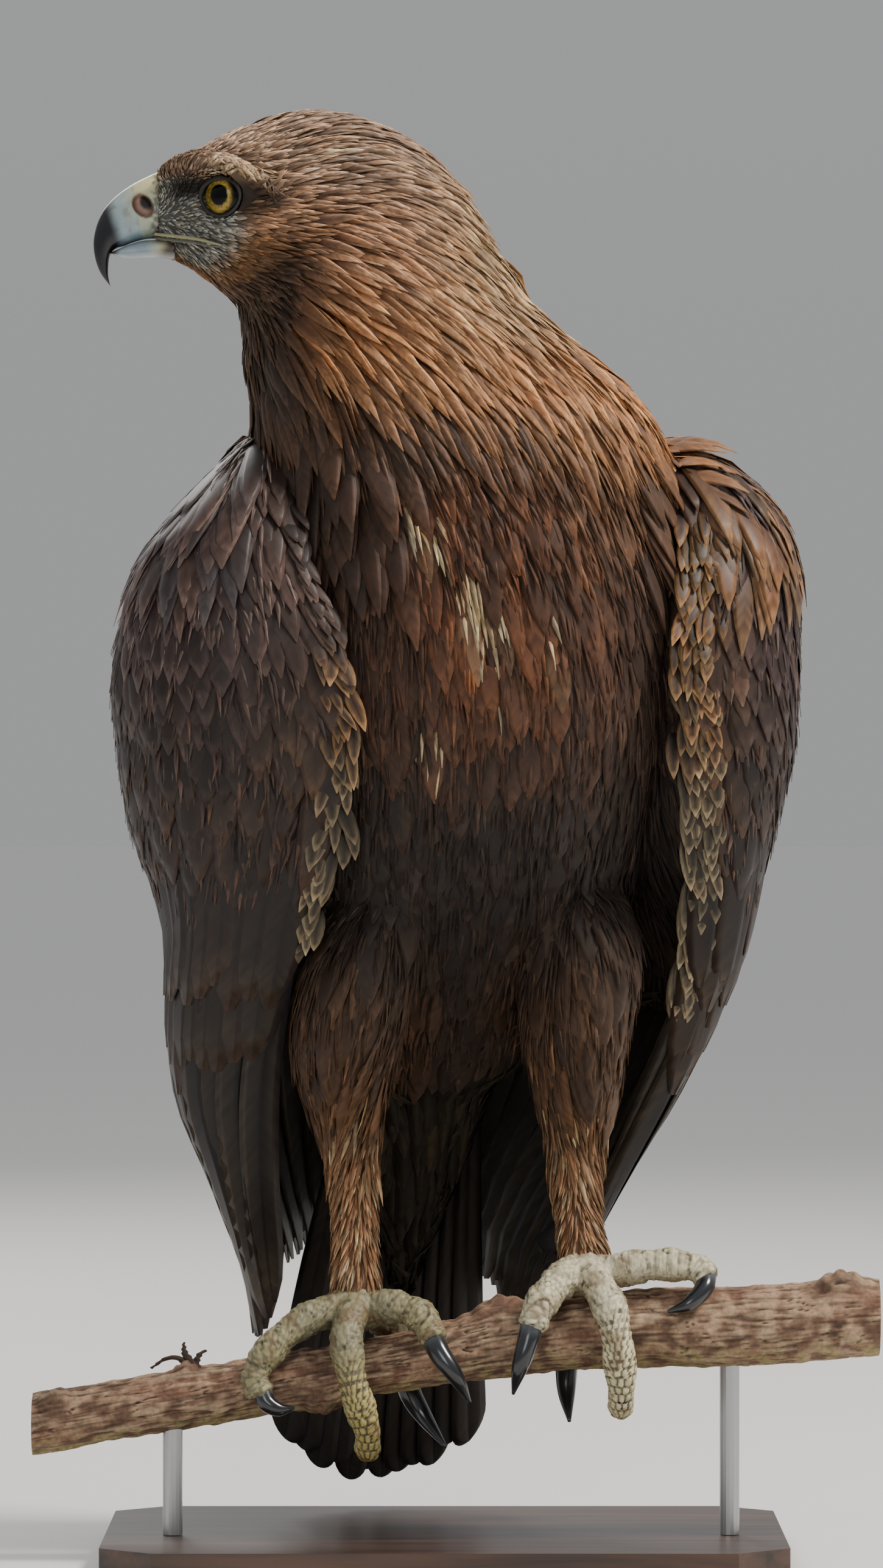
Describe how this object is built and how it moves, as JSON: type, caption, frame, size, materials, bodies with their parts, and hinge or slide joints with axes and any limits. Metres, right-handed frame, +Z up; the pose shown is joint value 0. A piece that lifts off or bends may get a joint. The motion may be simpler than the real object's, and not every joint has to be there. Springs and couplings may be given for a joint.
{
  "type": "golden eagle model on a perch",
  "caption": "Life-size golden eagle gripping a cut length of branch, head turned to its right, wings folded, on a flat display base with rods.",
  "frame": {"origin": "centre of the underside of the display base", "axes": "+Z up along the bird's height, -Y the way its body faces, -X the way its bill points"},
  "size_m": [0.3898, 0.2521, 0.6605],
  "materials": {
    "plumage_gold": "golden tan head and nape feathers",
    "plumage_brown": "dark brown body feathers",
    "plumage_wing": "near black wing and tail feathers with pale edges",
    "plumage_leg": "rufous leg feathers with pale streaks",
    "scaled_skin": "pale yellow scaled toes",
    "claw_horn": "glossy black horn",
    "bill_horn": "blue grey horn with a black tip",
    "cere_skin": "waxy pale yellow skin",
    "eye": "glossy amber iris and black pupil",
    "bark": "rough weathered bark with knots",
    "stand_wood": "dark satin stained wood",
    "stand_metal": "satin steel"
  },
  "bodies": {
    "root": {"cere": "cere_skin", "claw_left_hind": "claw_horn", "claw_left_inner": "claw_horn", "claw_left_middle": "claw_horn", "claw_left_outer": "claw_horn", "claw_right_hind": "claw_horn", "claw_right_inner": "claw_horn", "claw_right_middle": "claw_horn", "claw_right_outer": "claw_horn", "eye_left": "eye", "eye_right": "eye", "flight_left": "plumage_wing", "flight_right": "plumage_wing", "foot_left": "scaled_skin", "foot_right": "scaled_skin", "head": "plumage_gold", "lower_bill": "bill_horn", "neck": "plumage_gold", "perch": "bark", "shank_left": "plumage_leg", "shank_right": "plumage_leg", "stand_base": "stand_wood", "stand_rod_1": "stand_metal", "stand_rod_2": "stand_metal", "tail": "plumage_wing", "thigh_left": "plumage_leg", "thigh_right": "plumage_leg", "toe_left_hind": "scaled_skin", "toe_left_inner": "scaled_skin", "toe_left_middle": "scaled_skin", "toe_left_outer": "scaled_skin", "toe_right_hind": "scaled_skin", "toe_right_inner": "scaled_skin", "toe_right_middle": "scaled_skin", "toe_right_outer": "scaled_skin", "torso": "plumage_brown", "upper_bill": "bill_horn", "wing_left": "plumage_wing", "wing_right": "plumage_wing"}
  },
  "joints": []
}
